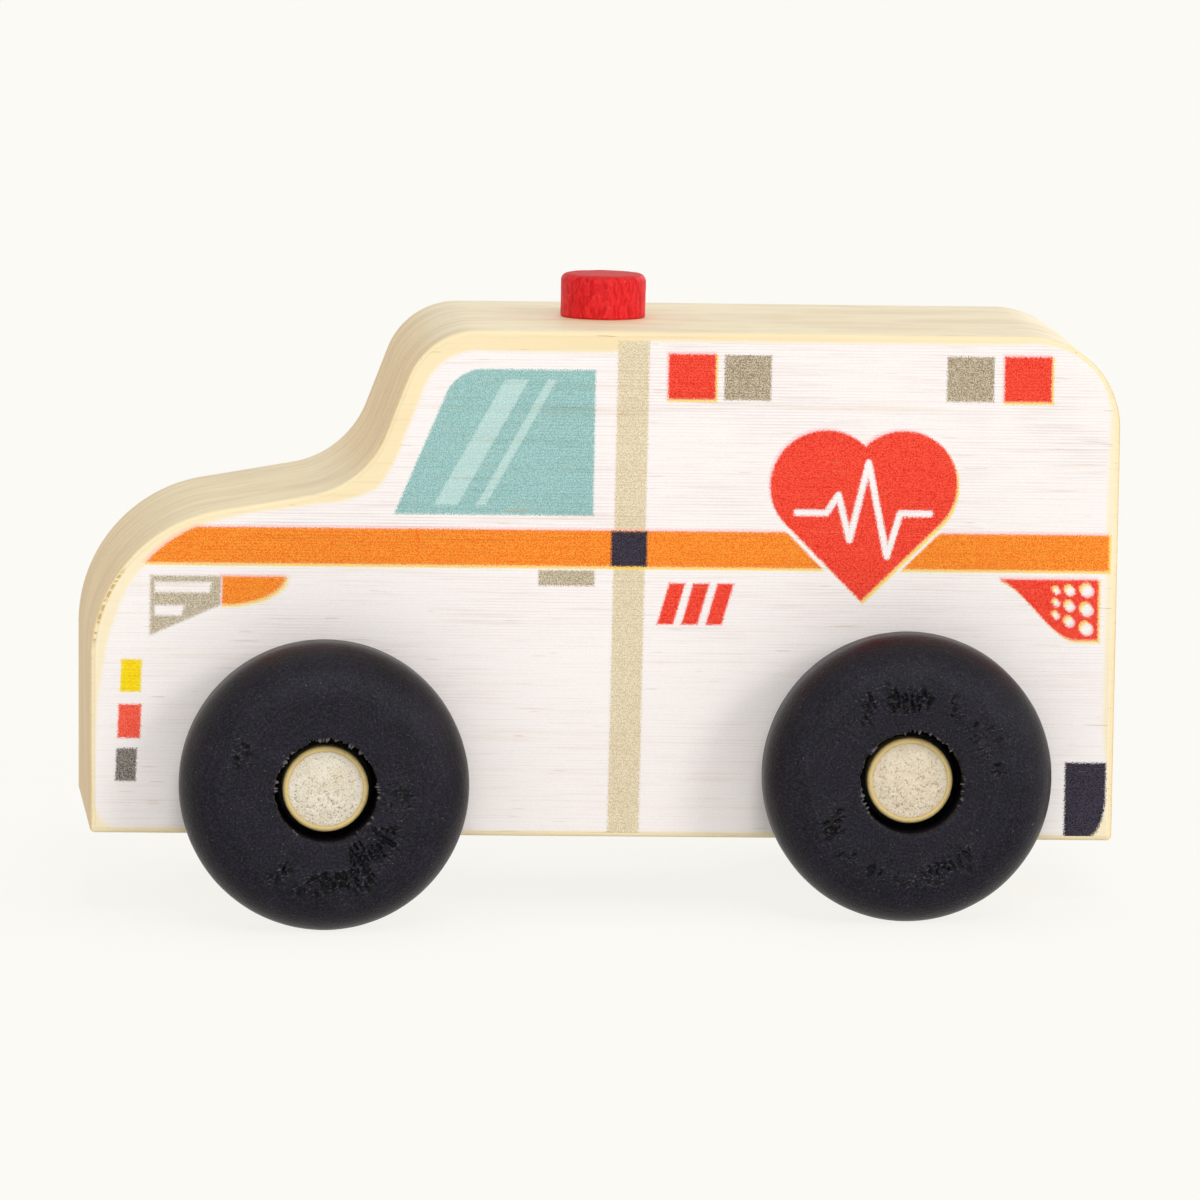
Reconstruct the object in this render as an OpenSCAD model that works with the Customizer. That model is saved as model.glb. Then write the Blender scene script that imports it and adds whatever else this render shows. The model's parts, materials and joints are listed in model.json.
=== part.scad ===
// Wooden push-along ambulance: a sawn block on four wheels that turn on glued pegs,
// with a turned beacon on the roof. The nose points along -X, and the floor is z = 0.

/* [Block] */
// Length of the block along the roof, from the line of the nose to the tail
block_length = 114.2; // [104:0.1:130]
// Height of the block, from the underside to the roof
block_height = 56.3; // [52:0.1:64]
// Thickness of the plank that the block is sawn from
block_thickness = 38; // [34:0.5:50]
// Height above the underside where the lines of nose and bonnet meet
nose_height = 33.5; // [28:0.1:37]
// How far the foot of the nose lies behind its top
nose_setback = 0.45; // [0:0.05:3]
// Rise of the bonnet towards the windscreen, in degrees
bonnet_slope = 10; // [4:0.5:14]
// Distance from the nose to the foot of the windscreen
cowl_from_nose = 30.3; // [27:0.1:40]
// Slope of the windscreen, in degrees
windscreen_slope = 69.5; // [55:0.5:84]
// Radius between nose and bonnet
nose_radius = 16.7; // [6:0.1:21]
// Radius of the hollow between bonnet and windscreen
cowl_radius = 10.9; // [4:0.1:16]
// Radius between windscreen and roof
brow_radius = 8.4; // [3:0.1:13]
// Radius between roof and tail
tail_radius = 10.4; // [3:0.1:20]
// Radius of the two lower corners
sill_radius = 0.6; // [0.3:0.1:3]

/* [Axles] */
// Distance between the front and the rear axle
wheelbase = 64.5; // [56:0.5:72]
// Distance from the nose to the front axle, along the underside
front_axle_from_nose = 25.9; // [20:0.1:32]
// Height of the axle line above the underside, halfway between the axles
axle_above_underside = 7.2; // [5.5:0.1:10]
// How far the block leans nose up on its level axles, in degrees
nose_lift = 1.3; // [0:0.1:2.5]

/* [Wheels] */
// Diameter of a wheel over its tread
wheel_diameter = 32; // [27:0.5:38]
// Width of a wheel
wheel_width = 13; // [11.5:0.1:18]
// Radius of the rounded rim, on both faces
wheel_rim_radius = 5.5; // [1:0.1:5.7]
// Gap between a wheel and the side of the block
side_gap = 0.5; // [0.3:0.1:1]
// Radial gap between the hub recess and the head of the peg
hub_gap = 0.95; // [0.4:0.05:2]
// Radial clearance of the wheel's bore on the shank of the peg
running_clearance = 0.1; // [0.05:0.05:0.3]

/* [Axle pegs] */
// Diameter of a peg's shank
shank_diameter = 6.35; // [5:0.05:7.5]
// Length of the shank that is glued into the block
shank_depth = 14; // [8:0.5:16]
// Radius of the rounded tip of the shank
shank_tip_radius = 0.8; // [0.3:0.1:2]
// Diameter of a peg's head
head_diameter = 9.5; // [8.5:0.1:11.5]
// Thickness of a peg's head
head_thickness = 3.2; // [2:0.1:4]
// Radius of the head's rounded rims
head_rim_radius = 0.4; // [0.2:0.1:0.9]
// Depth of the head's outer face below the face of the wheel
head_recess = 2.6; // [0.5:0.1:4]
// Gap between the head and the floor of the hub recess
head_gap = 0.4; // [0.3:0.1:1]

/* [Beacon] */
// Diameter of the beacon
beacon_diameter = 9.6; // [8:0.1:14]
// Height of the beacon above the roof
beacon_height = 4.9; // [3:0.1:8]
// Radius of the beacon's upper rim
beacon_rim_radius = 0.8; // [0.3:0.1:1.2]
// Radius of the beacon's lower rim
beacon_foot_radius = 0.35; // [0.2:0.05:1]
// Distance from the line of the nose to the beacon, along the roof
beacon_from_nose = 57.8; // [50:0.5:90]
// Diameter of the tenon under the beacon
tenon_diameter = 6.35; // [5:0.05:7]
// Length of the tenon in the roof
tenon_length = 8; // [5:0.5:14]
// Radius of the rounded tip of the tenon
tenon_tip_radius = 0.8; // [0.3:0.1:2]

/* [Glue] */
// Radial room for glue around a shank or a tenon in its hole
glue_clearance = 0.05; // [0.02:0.01:0.15]
// Room for glue at the bottom of a hole
glue_end_gap = 0.3; // [0.1:0.1:1]

/* [Hidden] */
$fn = 96;

front = -1;
rear = 1;
left = -1;
right = 1;
// How far a cutter starts outside the face that it cuts
cut_start = 1;
// Longest straight, and fewest straights, that an arc of the block's side is drawn with
arc_chord = 0.9;
arc_least = 4;

wheel_radius = wheel_diameter / 2;
half_thickness = block_thickness / 2;
hub_depth = head_recess + head_thickness + head_gap;
wheel_inner = half_thickness + side_gap;
wheel_outer = wheel_inner + wheel_width;
head_outer = wheel_outer - head_recess;

// Corners of the block's side, before rounding: [from the nose, above the underside, radius]
cowl_height = nose_height + cowl_from_nose * tan(bonnet_slope);
brow_from_nose = cowl_from_nose + (block_height - cowl_height) / tan(windscreen_slope);
corners = [
    [nose_setback, 0, sill_radius],
    [block_length, 0, sill_radius],
    [block_length, block_height, tail_radius],
    [brow_from_nose, block_height, brow_radius],
    [cowl_from_nose, cowl_height, cowl_radius],
    [0, nose_height, nose_radius]
];

function corner(i) = let (c = corners[(i + len(corners)) % len(corners)]) [c.x, c.y];
function radius(i) = corners[i].z;
function unit(v) = v / norm(v);
function arm(i, step) = unit(corner(i + step) - corner(i));
function half_angle(i) = acos(arm(i, -1) * arm(i, 1)) / 2;
// The arc that rounds a corner: its centre, the spoke to its first point, and its turn, minus in a hollow
function arc_centre(i) = corner(i) + unit(arm(i, -1) + arm(i, 1)) * radius(i) / sin(half_angle(i));
function arc_first(i) = corner(i) + arm(i, -1) * radius(i) / tan(half_angle(i)) - arc_centre(i);
function arc_turn(i) = -sign(cross(arm(i, -1), arm(i, 1))) * (180 - 2 * half_angle(i));
function arc_steps(i) = max(arc_least, ceil(radius(i) * abs(arc_turn(i)) * PI / 180 / arc_chord));
function arc_point(i, share) =
    let (heading = atan2(arc_first(i).y, arc_first(i).x) + share * arc_turn(i))
    arc_centre(i) + radius(i) * [cos(heading), sin(heading)];
side_outline = [
    for (i = [0 : len(corners) - 1])
        for (k = [0 : arc_steps(i)])
            arc_point(i, k / arc_steps(i))
];

// The middle of the axle line, seen from the block, and its x once the leaning block is centred on x = 0
axle_middle = [front_axle_from_nose + wheelbase / 2, axle_above_underside];
leaning_x = [for (p = side_outline) (p - axle_middle) * [cos(nose_lift), sin(nose_lift)]];
axle_middle_x = -(min(leaning_x) + max(leaning_x)) / 2;

// Puts a piece drawn on the upright block, nose at x = 0 and underside at z = 0, where the block stands
module on_block() {
    translate([axle_middle_x, 0, wheel_radius])
        rotate([0, nose_lift, 0])
            translate([-axle_middle.x, 0, -axle_middle.y])
                children();
}

// Puts a piece drawn along +Z, from the middle of the block outwards, on one of the four axle ends
module at_axle(end, side) {
    translate([axle_middle_x + end * wheelbase / 2, 0, wheel_radius])
        rotate([-90 * side, 0, 0])
            children();
}

// Half section of a turned bar, with a rounded rim at each end
module bar_section(bar_radius, length, low_rim, high_rim) {
    square([bar_radius - low_rim, low_rim]);
    translate([0, low_rim])
        square([bar_radius, length - low_rim - high_rim]);
    translate([0, length - high_rim])
        square([bar_radius - high_rim, high_rim]);
    translate([bar_radius - low_rim, low_rim])
        circle(low_rim);
    translate([bar_radius - high_rim, length - high_rim])
        circle(high_rim);
}

module turned_bar(bar_radius, length, low_rim, high_rim) {
    rotate_extrude()
        bar_section(bar_radius, length, low_rim, high_rim);
}

module peg_hole() {
    translate([0, 0, half_thickness - shank_depth - glue_end_gap])
        cylinder(r = shank_diameter / 2 + glue_clearance, h = shank_depth + glue_end_gap + cut_start);
}

module beacon_hole() {
    translate([beacon_from_nose, 0, block_height - tenon_length - glue_end_gap])
        cylinder(r = tenon_diameter / 2 + glue_clearance, h = tenon_length + glue_end_gap + cut_start);
}

module axle_peg() {
    shank_start = half_thickness - shank_depth;
    head_inner = head_outer - head_thickness;
    color("burlywood") {
        translate([0, 0, shank_start])
            turned_bar(shank_diameter / 2, head_inner + head_thickness / 2 - shank_start,
                shank_tip_radius, shank_tip_radius);
        translate([0, 0, head_inner])
            turned_bar(head_diameter / 2, head_thickness, head_rim_radius, head_rim_radius);
    }
}

module wheel() {
    color("#2c2b32")
        difference() {
            translate([0, 0, wheel_inner])
                turned_bar(wheel_radius, wheel_width, wheel_rim_radius, wheel_rim_radius);
            translate([0, 0, wheel_inner - cut_start])
                cylinder(r = shank_diameter / 2 + running_clearance, h = wheel_width + 2 * cut_start);
            translate([0, 0, wheel_outer - hub_depth])
                cylinder(r = head_diameter / 2 + hub_gap, h = hub_depth + cut_start);
        }
}

module body_block() {
    color("wheat")
        difference() {
            on_block()
                rotate([90, 0, 0])
                    linear_extrude(height = block_thickness, center = true)
                        polygon(side_outline);
            for (end = [front, rear], side = [left, right])
                at_axle(end, side)
                    peg_hole();
            on_block()
                beacon_hole();
        }
}

module front_left_axle_peg() {
    at_axle(front, left)
        axle_peg();
}

module front_right_axle_peg() {
    at_axle(front, right)
        axle_peg();
}

module rear_left_axle_peg() {
    at_axle(rear, left)
        axle_peg();
}

module rear_right_axle_peg() {
    at_axle(rear, right)
        axle_peg();
}

module front_left_wheel() {
    at_axle(front, left)
        wheel();
}

module front_right_wheel() {
    at_axle(front, right)
        wheel();
}

module rear_left_wheel() {
    at_axle(rear, left)
        wheel();
}

module rear_right_wheel() {
    at_axle(rear, right)
        wheel();
}

module beacon() {
    color("#e12328")
        on_block()
            translate([beacon_from_nose, 0, block_height]) {
                turned_bar(beacon_diameter / 2, beacon_height, beacon_foot_radius, beacon_rim_radius);
                translate([0, 0, -tenon_length])
                    turned_bar(tenon_diameter / 2, tenon_length + beacon_height / 2,
                        tenon_tip_radius, tenon_tip_radius);
            }
}

body_block();
front_left_axle_peg();
front_right_axle_peg();
rear_left_axle_peg();
rear_right_axle_peg();
front_left_wheel();
front_right_wheel();
rear_left_wheel();
rear_right_wheel();
beacon();
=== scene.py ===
from functools import partial, reduce
import json

import bpy
import numpy as np
from mathutils import Matrix, Vector


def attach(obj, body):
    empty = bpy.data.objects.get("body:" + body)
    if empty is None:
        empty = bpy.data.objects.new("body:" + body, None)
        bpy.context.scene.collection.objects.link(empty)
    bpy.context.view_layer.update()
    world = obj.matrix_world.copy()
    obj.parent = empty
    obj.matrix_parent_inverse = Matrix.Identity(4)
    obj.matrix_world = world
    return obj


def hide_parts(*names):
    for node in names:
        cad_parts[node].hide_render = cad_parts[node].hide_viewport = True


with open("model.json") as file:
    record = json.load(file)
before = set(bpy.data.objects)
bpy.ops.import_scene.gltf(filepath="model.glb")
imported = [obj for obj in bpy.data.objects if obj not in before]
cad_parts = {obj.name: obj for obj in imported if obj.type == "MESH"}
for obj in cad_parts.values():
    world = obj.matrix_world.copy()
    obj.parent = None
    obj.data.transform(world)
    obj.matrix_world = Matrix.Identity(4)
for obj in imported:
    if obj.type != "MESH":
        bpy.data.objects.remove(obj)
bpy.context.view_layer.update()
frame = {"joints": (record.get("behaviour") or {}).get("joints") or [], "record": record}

# Sizes of the wooden pieces, repeated from the part's source, in millimetres
MM = 0.001
BLOCK_LENGTH = 114.2
BLOCK_HEIGHT = 56.3
HALF_THICKNESS = 19.0
NOSE_HEIGHT = 33.5
NOSE_SETBACK = 0.45
COWL_FROM_NOSE = 30.3
COWL_HEIGHT = 38.8427
BROW_FROM_NOSE = 36.834
NOSE_RADIUS = 16.7
COWL_RADIUS = 10.9
BROW_RADIUS = 8.4
TAIL_RADIUS = 10.4
SILL_RADIUS = 0.6
WHEEL_RADIUS = 16.0
WHEEL_WIDTH = 13.0
WHEEL_RIM = 5.5
SIDE_GAP = 0.5
HUB_GAP = 0.95
RUNNING_CLEARANCE = 0.1
SHANK_RADIUS = 3.175
SHANK_DEPTH = 14.0
SHANK_TIP = 0.8
HEAD_RADIUS = 4.75
HEAD_THICKNESS = 3.2
HEAD_RECESS = 2.6
HEAD_GAP = 0.4
HEAD_RIM = 0.4
BEACON_RADIUS = 4.8
BEACON_HEIGHT = 4.9
BEACON_RIM = 0.8
BEACON_FOOT = 0.35
BEACON_FROM_NOSE = 57.8
TENON_LENGTH = 8.0

# Sizes that follow from those
WHEEL_INNER = HALF_THICKNESS + SIDE_GAP
WHEEL_BORE = SHANK_RADIUS + RUNNING_CLEARANCE
HUB_RADIUS = HEAD_RADIUS + HUB_GAP
HUB_DEPTH = HEAD_RECESS + HEAD_THICKNESS + HEAD_GAP
HEAD_OUTER = WHEEL_INNER + WHEEL_WIDTH - HEAD_RECESS
HEAD_INNER = HEAD_OUTER - HEAD_THICKNESS
SHANK_START = HALF_THICKNESS - SHANK_DEPTH
# Corners of the block's side: from the nose, above the underside, radius
BLOCK_CORNERS = np.array([
    (NOSE_SETBACK, 0.0, SILL_RADIUS),
    (BLOCK_LENGTH, 0.0, SILL_RADIUS),
    (BLOCK_LENGTH, BLOCK_HEIGHT, TAIL_RADIUS),
    (BROW_FROM_NOSE, BLOCK_HEIGHT, BROW_RADIUS),
    (COWL_FROM_NOSE, COWL_HEIGHT, COWL_RADIUS),
    (0.0, NOSE_HEIGHT, NOSE_RADIUS),
])

# The block's own axes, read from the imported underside: along from nose to tail, and up
underside = frame["record"]["mounts"][0]
block_up = -np.array(underside["axis"], float)
block_up /= np.linalg.norm(block_up)
block_along = np.array([block_up[2], 0.0, -block_up[0]])
block_across = np.array([0.0, 1.0, 0.0])
nose_foot = np.array(underside["pos_m"]) / MM - block_along * BLOCK_LENGTH / 2

# Primes, shifts and multipliers that mix the numbers of a cell of noise
CELL_PRIMES = np.array([73856093, 19349663, 83492791])
SEED_PRIME = 2654435761
MIXERS = [(15, 1274126177), (13, 1103515245)]
LAST_SHIFT = 16
WORD = 0xFFFFFFFF


def hashed(cell, seed):
    """One number from -1 to 1 for each whole-number cell: its three numbers are summed, each times a
    prime, and mixed by rounds of shift and multiply."""
    mixed = ((cell * CELL_PRIMES).sum(-1) + seed * SEED_PRIME) & WORD
    for shift, multiplier in MIXERS:
        mixed = ((mixed ^ (mixed >> shift)) * multiplier) & WORD
    return (mixed ^ (mixed >> LAST_SHIFT)) / 2.0 ** 31 - 1


def roughness_noise(place, seed):
    """Smooth noise from -1 to 1: the hashed numbers of a cell's eight corners, blended on each axis by
    6t^5 - 15t^4 + 10t^3."""
    cell = np.floor(place).astype(np.int64)
    part = place - cell
    ease = part ** 3 * (part * (part * 6 - 15) + 10)
    total = 0
    for corner in np.ndindex(2, 2, 2):
        weight = np.prod(np.where(np.array(corner) == 1, ease, 1 - ease), axis=-1)
        total = total + weight * hashed(cell + np.array(corner), seed)
    return total


def round_noise(round_turn, waves, follows, seed):
    """Noise with so many cells to a radian of the turn, which also changes with the amount that it
    follows."""
    return roughness_noise(np.concatenate([round_turn * waves, follows[..., None]], -1), seed)


# Shapes


def unit(arrows):
    """Arrows of length 1 in the same directions."""
    return arrows / np.linalg.norm(arrows, axis=-1, keepdims=True)


def eased_step(value, low, high):
    """0 below low, 1 above high, and 3t^2 - 2t^3 between."""
    t = np.clip((value - low) / (high - low), 0, 1)
    return t * t * (3 - 2 * t)


def line(start, end, steps):
    """Points of a straight from start up to, but without, end."""
    return np.linspace(start, end, steps, endpoint=False)


def arc(centre, radius, first, last, steps):
    """Points of a circle between two bearings in degrees, without the last."""
    bearing = np.radians(np.linspace(first, last, steps, endpoint=False))
    return np.array(centre) + radius * np.stack([np.cos(bearing), np.sin(bearing)], -1)


def side_outline(corners, arc_steps, straight_steps):
    """The block's side: each corner is the arc tangent to its two straights, its centre on the bisector
    at radius / sin(half angle), followed by the straight to the next arc, its points closer near its
    ends. Returns the points, their outward normals, and their place in corners passed."""
    tips, radii = corners[:, :2], corners[:, 2:]
    back = unit(np.roll(tips, 1, 0) - tips)
    ahead = unit(np.roll(tips, -1, 0) - tips)
    half = np.arccos(np.sum(back * ahead, 1, keepdims=True)) / 2
    centres = tips + unit(back + ahead) * radii / np.sin(half)
    spokes = tips + back * radii / np.tan(half) - centres
    turn = -np.sign(back[:, :1] * ahead[:, 1:] - back[:, 1:] * ahead[:, :1]) * (np.pi - 2 * half)
    share = np.linspace(0, 1, arc_steps + 1)
    bearing = np.arctan2(spokes[:, 1:], spokes[:, :1]) + turn * share
    rounds = centres[:, None] + radii[:, None] * np.stack([np.cos(bearing), np.sin(bearing)], -1)
    outwards = np.sign(turn)[:, None] * np.stack([np.cos(bearing), np.sin(bearing)], -1)
    ahead_share = (1 - np.cos(np.pi * np.linspace(0, 1, straight_steps + 1)[1:-1, None])) / 2
    straights = rounds[:, -1:] + (np.roll(rounds[:, :1], -1, 0) - rounds[:, -1:]) * ahead_share
    flats = np.repeat(outwards[:, -1:], straight_steps - 1, 1)
    passed = np.arange(len(corners))[:, None] + np.concatenate([share / 2, 0.5 + ahead_share[:, 0] / 2])
    points = np.concatenate([rounds, straights], 1).reshape(-1, 2)
    return points, np.concatenate([outwards, flats], 1).reshape(-1, 2), passed.reshape(-1)


def on_block(along, across, up):
    """Block millimetres to metres of the frame."""
    place = nose_foot
    for amount, axis in ((along, block_along), (across, block_across), (up, block_up)):
        place = place + np.asarray(amount, float)[..., None] * axis
    return place * MM


def on_axle(local, side, hub):
    """Millimetres of a turned piece, whose axis points out of the block, to metres of the frame."""
    return np.stack([hub[0] + local[..., 0], side * local[..., 2], hub[1] + local[..., 1]], -1) * MM


def on_roof(local):
    """Millimetres of the beacon, whose axis points up from the roof, to metres of the frame."""
    return on_block(BEACON_FROM_NOSE + local[..., 0], local[..., 1], BLOCK_HEIGHT + local[..., 2])


def skin(name, rings, wrap=False, first_pole=None, last_pole=None):
    """A closed mesh over a grid of points: rings are joined by quads, each ring closes on itself, and the
    ends close on a pole or, with wrap, on each other. Faces are turned outwards by the sign of the
    enclosed volume."""
    rows, columns = rings.shape[:2]
    points = rings.reshape(-1, 3)
    index = np.arange(rows * columns).reshape(rows, columns)
    if wrap:
        index = np.concatenate([index, index[:1]])
    beside = np.roll(index, -1, 1)
    quads = np.stack([index[:-1], index[1:], beside[1:], beside[:-1]], -1).reshape(-1, 4)
    fans = np.zeros((0, 3), int)
    for pole, ring, turn in ((first_pole, index[0], 1), (last_pole, index[-1], -1)):
        if pole is not None:
            tip = np.full(columns, len(points))
            points = np.concatenate([points, np.reshape(pole, (1, 3))])
            fans = np.concatenate([fans, np.stack([tip, ring, np.roll(ring, -1)], -1)[:, ::turn]])
    corners = np.concatenate([fans, quads[:, [0, 1, 2]], quads[:, [0, 2, 3]]])
    a, b, c = (points[corners[:, k]] for k in range(3))
    if np.sum(a * np.cross(b, c)) < 0:
        quads = quads[:, ::-1]
        fans = fans[:, ::-1]
    mesh = bpy.data.meshes.new(name)
    mesh.vertices.add(len(points))
    mesh.vertices.foreach_set("co", points.astype(np.float32).ravel())
    loops = np.concatenate([quads.ravel(), fans.ravel()])
    mesh.loops.add(len(loops))
    mesh.loops.foreach_set("vertex_index", loops.astype(np.int32))
    sizes = np.concatenate([np.full(len(quads), 4), np.full(len(fans), 3)])
    mesh.polygons.add(len(sizes))
    mesh.polygons.foreach_set("loop_start", (np.cumsum(sizes) - sizes).astype(np.int32))
    mesh.polygons.foreach_set("use_smooth", np.ones(len(sizes), bool))
    mesh.update(calc_edges=True)
    mesh.validate()
    piece = bpy.data.objects.new(name, mesh)
    bpy.context.scene.collection.objects.link(piece)
    return piece


def keep_values(piece, name, values, kind="FLOAT"):
    """Stores one number, or one arrow of three, for each point of a piece, for its finish to read."""
    held = piece.data.attributes.new(name, kind, "POINT")
    held.data.foreach_set("value" if kind == "FLOAT" else "vector", np.asarray(values, np.float32).ravel())


def turned(profile, columns):
    """A profile of (reach, climb) points carried round an axis: reach times cosine and sine of the turn,
    and climb along the axis."""
    turn = np.linspace(0, 2 * np.pi, columns, endpoint=False)
    reach, climb = profile[:, :1], profile[:, 1:]
    return np.stack([reach * np.cos(turn), reach * np.sin(turn), climb + 0 * turn], -1)


# The block, with its long edges eased by hand: the ease drifts, in so many waves to a millimetre
EASE = 0.46
EASE_DRIFT = 0.08
EASE_WAVES = 0.11
EASE_STEPS = 6
CAP_MIDDLE = np.array([60.0, 25.0])
CAP_SHARES = [0.25, 0.5, 0.75, 0.93, 0.985, 0.997]
BAND_HALF = 15.0
BAND_RINGS = 7
ARC_STEPS = 40
STRAIGHT_STEPS = 40
PRINT_LIFT = 0.02
PRINT_FILM = 0.015
PRINT_INSET = 0.03
PRINT_SHARES = np.concatenate([[0.2, 0.4, 0.6, 0.75, 0.85], np.linspace(0.89, 1.0, 34)])

outline, outward, corners_passed = side_outline(BLOCK_CORNERS, ARC_STEPS, STRAIGHT_STEPS)
ease_place = np.pad(outline * EASE_WAVES, ((0, 0), (0, 1)))
left_ease = EASE + EASE_DRIFT * roughness_noise(ease_place, 3)
right_ease = EASE + EASE_DRIFT * roughness_noise(ease_place, 4)


def shrunk(share, inset, ease):
    """The outline drawn in along its normals by inset eases, then shrunk about the middle of the side to
    a share of its size."""
    drawn_in = outline - outward * (inset * ease)[:, None]
    return CAP_MIDDLE + (drawn_in - CAP_MIDDLE) * share


def ring_at(share, inset, ease, across):
    """That outline, laid across the block."""
    along, up = shrunk(share, inset, ease).T
    return on_block(along, across, up)


def build_block():
    """Rings from the middle of one side, out over its eased edge, across the plank and back in: on the
    eased edge a ring is drawn in by ease * (1 - cos t) and lies ease * (1 - sin t) inside the face, for t
    from 90 to 0 degrees."""
    face = HALF_THICKNESS - PRINT_LIFT
    left, right = [], []
    for side, ease, rings in ((-1, left_ease, left), (1, right_ease, right)):
        rings += [ring_at(share, np.ones_like(ease), ease, side * face + 0 * ease) for share in CAP_SHARES]
        for t in np.radians(np.linspace(90, 0, EASE_STEPS + 1)):
            inset = 1 - np.cos(t) + 0 * ease
            rings.append(ring_at(1.0, inset, ease, side * (face - ease * (1 - np.sin(t)))))
    band = np.linspace(-BAND_HALF, BAND_HALF, BAND_RINGS)
    between = [ring_at(1.0, 0 * left_ease, left_ease, across + 0 * left_ease) for across in band]
    rings = np.array(left + between + right[::-1])
    poles = [on_block(CAP_MIDDLE[0], side * face, CAP_MIDDLE[1]) for side in (-1, 1)]
    return skin("eased_block", rings, first_pole=poles[0], last_pole=poles[1])


# How far the white ground stays inside the block's edge: corners passed along the outline, border
GROUND_BORDER = [
    (0.0, 0.45), (0.5, 0.4), (1.0, 0.4), (1.5, 0.8), (1.59, 0.85), (1.63, 1.25), (1.9, 1.3), (2.0, 1.2),
    (2.25, 0.35), (2.5, 0.9), (2.545, 1.0), (2.85, 1.0), (2.87, 2.3), (3.0, 2.3), (3.5, 2.15), (3.9, 2.1),
    (4.0, 2.1), (4.25, 2.7), (4.5, 1.1), (4.9, 0.85), (5.0, 1.0), (5.1, 1.3), (5.25, 1.75), (5.4, 2.05),
    (5.5, 1.6), (5.6, 1.0), (5.68, 0.7), (5.81, 0.5), (6.0, 0.45),
]
# Round lower corners of the white ground: middle, radius, and side that it is on
GROUND_FEET = [((4.3, 3.8), 3.4, -1), ((110.0, 4.0), 3.4, 1)]
# Farthest that a point is noted to lie inside or outside the ground
GROUND_REACH = 3.0


def build_print(name, side, ease):
    """A film over the flat of one side: rings shrunk about its middle, close together near the edge. Each
    point keeps how far it lies inside the white ground: its distance in from the block's edge less the
    border there, and near a lower corner at most the radius of its round less the distance from the
    middle of that round."""
    border = np.interp(corners_passed, *np.transpose(GROUND_BORDER))
    inset = 1 + PRINT_INSET / ease
    faces = (HALF_THICKNESS, HALF_THICKNESS - PRINT_FILM)
    rings, reach = [], []
    for across, order in zip(faces, (1, -1)):
        for share in PRINT_SHARES[::order]:
            rings.append(ring_at(share, inset, ease, side * across + 0 * ease))
            place = shrunk(share, inset, ease)
            inside = np.sum((outline - place) * outward, 1) - border
            for middle, radius, way in GROUND_FEET:
                past = np.maximum((place - np.array(middle)) * np.array([way, -1]), 0)
                inside = np.minimum(inside, radius - np.hypot(*past.T))
            reach.append(np.clip(inside, -GROUND_REACH, GROUND_REACH))
    poles = [on_block(CAP_MIDDLE[0], side * across, CAP_MIDDLE[1]) for across in faces]
    piece = skin(name, np.array(rings), first_pole=poles[0], last_pole=poles[1])
    keep_values(piece, "ground_reach", np.append(np.concatenate(reach), [GROUND_REACH] * len(poles)))
    return piece


# Torn patches on the wheels' outer faces: bearing in degrees, reach, spread of both, strength
TORN_PATCHES = {
    "front_left": [
        (-66, 9.2, 18, 2.6, 1.0), (-92, 10.2, 24, 1.7, 0.75), (-40, 8.4, 16, 1.8, 0.5),
        (-118, 10.6, 16, 1.5, 0.6), (155, 10.6, 20, 1.8, 0.35), (-10, 8.2, 26, 2.0, 0.3),
    ],
    "rear_left": [
        (98, 9.6, 34, 1.7, 0.9), (208, 9.8, 16, 1.4, 0.9), (-62, 10.2, 24, 1.6, 0.6),
        (25, 9.5, 28, 2.2, 0.45), (-115, 10.5, 25, 1.6, 0.4),
    ],
    "front_right": [(64, 9.1, 28, 2.0, 0.9), (-128, 10.1, 30, 1.7, 0.8), (170, 8.0, 18, 1.4, 0.5)],
    "rear_right": [(-100, 9.3, 32, 2.1, 0.9), (22, 10.4, 22, 1.6, 0.6), (120, 8.6, 20, 1.5, 0.5)],
}
WHEEL_COLUMNS = 640
HUB_EDGE = 0.22
BORE_EDGE = 0.3
# Depths of the marks on a wheel, and width of the frayed hub edge
TEAR_DEPTH = 0.3
FRAY = 0.36
FRAY_WIDTH = 0.3
FIBRE_DROP = 0.16
DAPPLE_IN = 0.03
DAPPLE_DOWN = 0.025
# Step of the number that sets the grain of each wheel and peg apart
BATCH_STEP = 7.3


def wheel_profile():
    """Round the wheel's half section: inner face, rim, tread, rim, outer face, hub edge, hub wall and
    floor, and bore."""
    flat = WHEEL_RADIUS - WHEEL_RIM
    floor_climb = WHEEL_WIDTH - HUB_DEPTH
    return np.concatenate([
        line((WHEEL_BORE + BORE_EDGE, 0), (flat, 0), 6),
        arc((flat, WHEEL_RIM), WHEEL_RIM, -90, 0, 12),
        line((WHEEL_RADIUS, WHEEL_RIM), (WHEEL_RADIUS, WHEEL_WIDTH - WHEEL_RIM), 3),
        arc((flat, WHEEL_WIDTH - WHEEL_RIM), WHEEL_RIM, 0, 90, 34),
        line((flat, WHEEL_WIDTH), (HUB_RADIUS + HUB_EDGE, WHEEL_WIDTH), 52),
        arc((HUB_RADIUS + HUB_EDGE, WHEEL_WIDTH - HUB_EDGE), HUB_EDGE, 90, 180, 5),
        line((HUB_RADIUS, WHEEL_WIDTH - HUB_EDGE), (HUB_RADIUS, floor_climb), 7),
        line((HUB_RADIUS, floor_climb), (WHEEL_BORE, floor_climb), 3),
        line((WHEEL_BORE, floor_climb), (WHEEL_BORE, BORE_EDGE), 3),
        line((WHEEL_BORE, BORE_EDGE), (WHEEL_BORE + BORE_EDGE, 0), 2),
    ])


def torn_patches(corner, reach, bearing):
    """The sum of a wheel's patches, each its strength * exp(-a^2 - b^2), where a and b are how far
    bearing and reach lie from the patch, each over its spread."""
    total = 0
    for angle, middle, spread, width, strength in TORN_PATCHES[corner]:
        apart = (np.degrees(bearing) - angle + 180) % 360 - 180
        total = total + strength * np.exp(-(apart / spread) ** 2 - ((reach - middle) / width) ** 2)
    return total


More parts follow.
